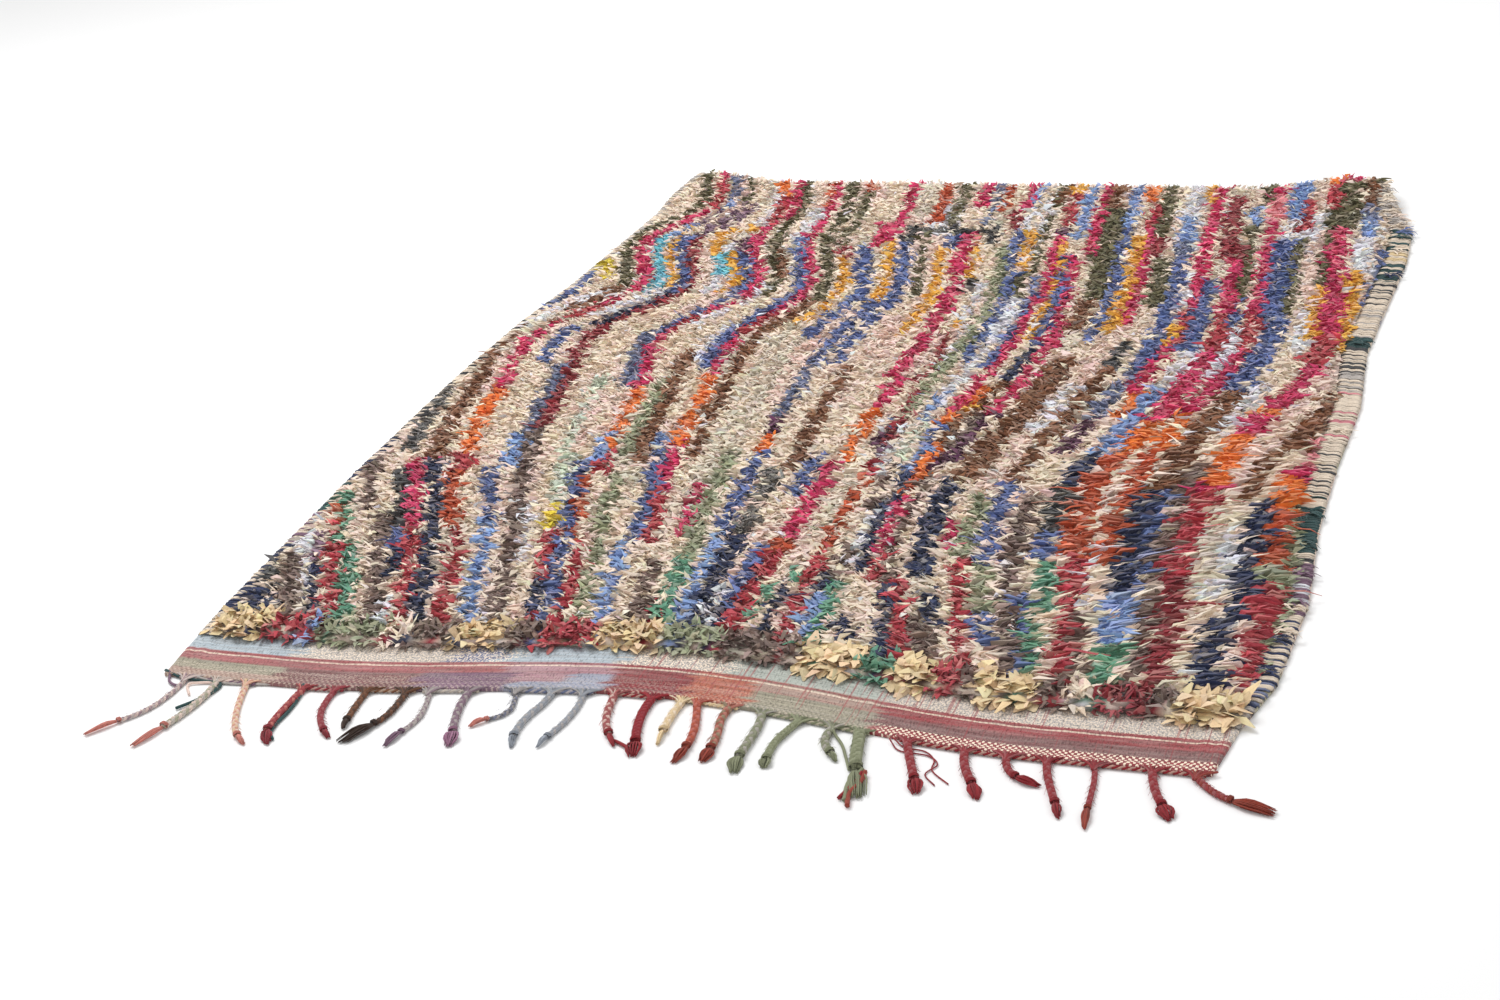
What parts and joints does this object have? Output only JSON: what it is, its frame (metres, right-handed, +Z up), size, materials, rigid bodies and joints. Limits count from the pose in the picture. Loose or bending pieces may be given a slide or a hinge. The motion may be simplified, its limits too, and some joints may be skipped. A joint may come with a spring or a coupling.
{
  "type": "boucherouite rug",
  "caption": "Hand-knotted rag rug lying flat: woven ground with an end band, a shaggy rag pile and a braided fringe along one end.",
  "frame": {"origin": "on the floor, on the flat underside, under the middle of the rug", "axes": "+X across the rug, +Y along it away from the fringe, +Z up out of the pile"},
  "size_m": [1.4625, 2.1517, 0.0386],
  "materials": {
    "ground_weave": "flat-woven wool with dry, even ribs",
    "rag_pile": "torn cotton and jersey rag strips in many colours, matt",
    "yarn_cream_mauve": "plied wool, matt",
    "yarn_wine": "plied wool, matt",
    "yarn_brown": "plied wool, matt",
    "yarn_mauve": "plied wool, matt",
    "yarn_grey": "plied wool, matt",
    "yarn_madder": "plied wool, matt",
    "yarn_rust": "plied wool, matt",
    "yarn_sage": "plied wool, matt",
    "yarn_red": "plied wool, matt"
  },
  "bodies": {
    "root": {"ground_weave": "ground_weave", "rag_pile": "rag_pile", "fringe_cream_mauve": "yarn_cream_mauve", "fringe_wine": "yarn_wine", "fringe_brown": "yarn_brown", "fringe_mauve": "yarn_mauve", "fringe_grey": "yarn_grey", "fringe_madder": "yarn_madder", "fringe_rust": "yarn_rust", "fringe_sage": "yarn_sage", "fringe_red": "yarn_red"}
  },
  "joints": []
}
